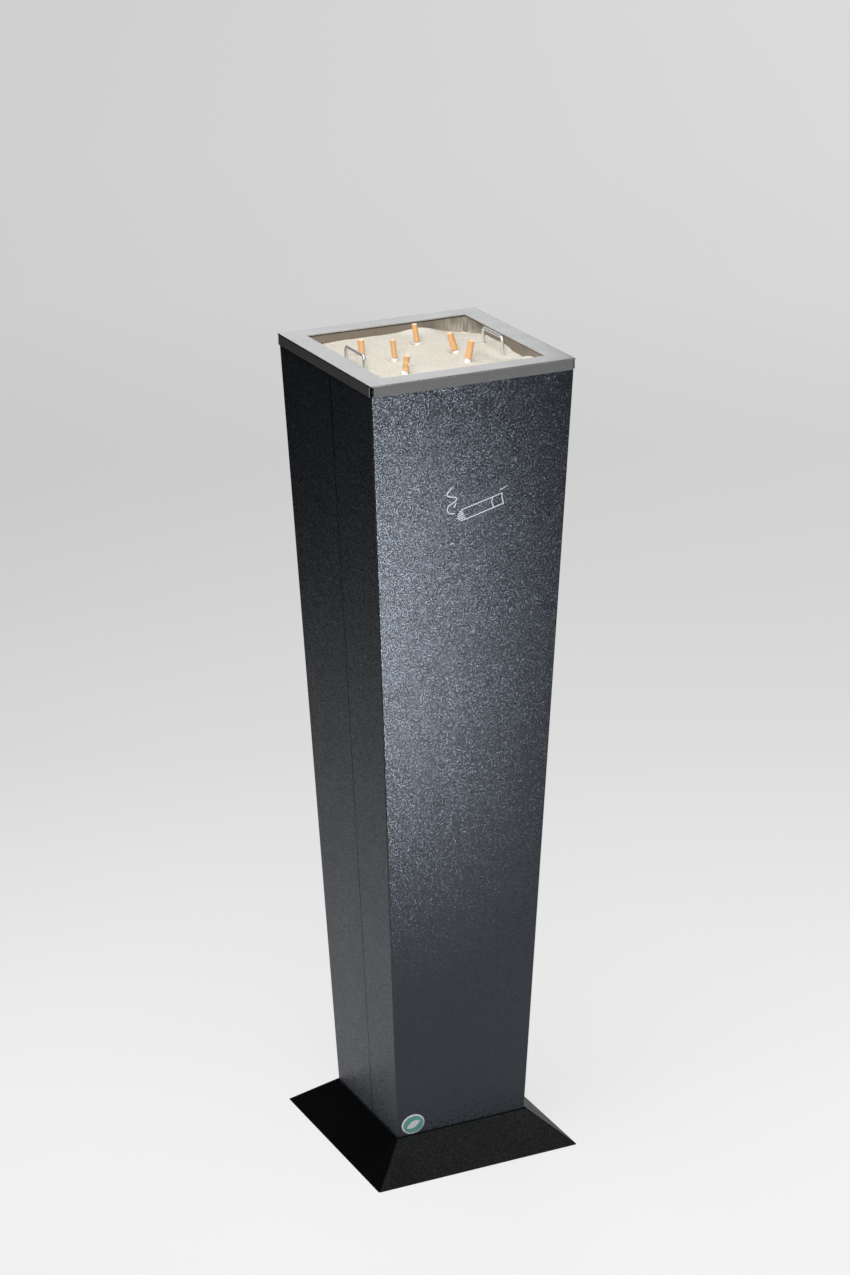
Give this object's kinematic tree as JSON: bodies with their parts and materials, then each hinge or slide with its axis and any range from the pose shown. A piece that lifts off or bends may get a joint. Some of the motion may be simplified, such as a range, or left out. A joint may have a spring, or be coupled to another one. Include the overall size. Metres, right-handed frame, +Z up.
{
  "type": "ashtray bin",
  "caption": "Tall square tapered column with a skirted foot and a rimmed top tray of sand; a sieve with wire handles lifts the cigarette ends out.",
  "frame": {"origin": "on the floor, in the middle of the foot", "axes": "+Z up the column, -Y is the front face with the pictogram, +X to the right seen from the front"},
  "size_m": [0.2716, 0.2716, 1.0238],
  "materials": {
    "column_coat": "anthracite metallic powder coat, fine sparkle",
    "skirt_coat": "black powder coat, fine texture",
    "brushed_stainless": "brushed stainless steel",
    "plain_stainless": "plain rolled stainless steel",
    "polished_stainless": "polished stainless wire",
    "mill_steel": "bare mild steel",
    "zinc_steel": "zinc-plated steel",
    "black_rubber": "matt rubber",
    "sand": "fine pale silica sand",
    "cork_paper": "cork-coloured tipping paper",
    "cigarette_paper": "white cigarette paper",
    "pale_print": "pale grey print",
    "label_film": "printed film under a clear dome"
  },
  "bodies": {
    "column": {"front_shell": "column_coat", "rear_shell": "column_coat", "seam_strip_left": "mill_steel", "seam_strip_right": "mill_steel", "base_plate": "mill_steel", "foot_pads": "black_rubber", "foot_screws": "zinc_steel", "weld_nuts": "zinc_steel", "tray_pads": "black_rubber", "pictogram": "pale_print", "maker_label": "label_film"},
    "skirt": {"skirt_cover": "skirt_coat"},
    "tray": {"sand_tray": "plain_stainless", "sand_fill": "sand"},
    "rim": {"rim_frame": "brushed_stainless"},
    "sieve": {"sieve_plate": "plain_stainless", "sieve_handle_left": "polished_stainless", "sieve_handle_right": "polished_stainless", "butt_1_filter": "cork_paper", "butt_1_paper": "cigarette_paper", "butt_2_filter": "cork_paper", "butt_2_paper": "cigarette_paper", "butt_3_filter": "cork_paper", "butt_3_paper": "cigarette_paper", "butt_4_filter": "cork_paper", "butt_4_paper": "cigarette_paper", "butt_5_filter": "cork_paper", "butt_5_paper": "cigarette_paper", "butt_6_filter": "cork_paper", "butt_6_paper": "cigarette_paper"}
  },
  "joints": [
    {"name": "skirt_lift", "type": "slide", "parent": "column", "child": "skirt", "axis": [0, 0, 1], "range_m": [0, 0.03]},
    {"name": "tray_lift", "type": "slide", "parent": "column", "child": "tray", "axis": [0, 0, 1], "range_m": [0, 0.1]},
    {"name": "rim_lift", "type": "slide", "parent": "tray", "child": "rim", "axis": [0, 0, 1], "range_m": [0, 0.04]},
    {"name": "sieve_lift", "type": "slide", "parent": "tray", "child": "sieve", "axis": [0, 0, 1], "range_m": [0, 0.08], "deforming": ["sand_fill"]}
  ]
}
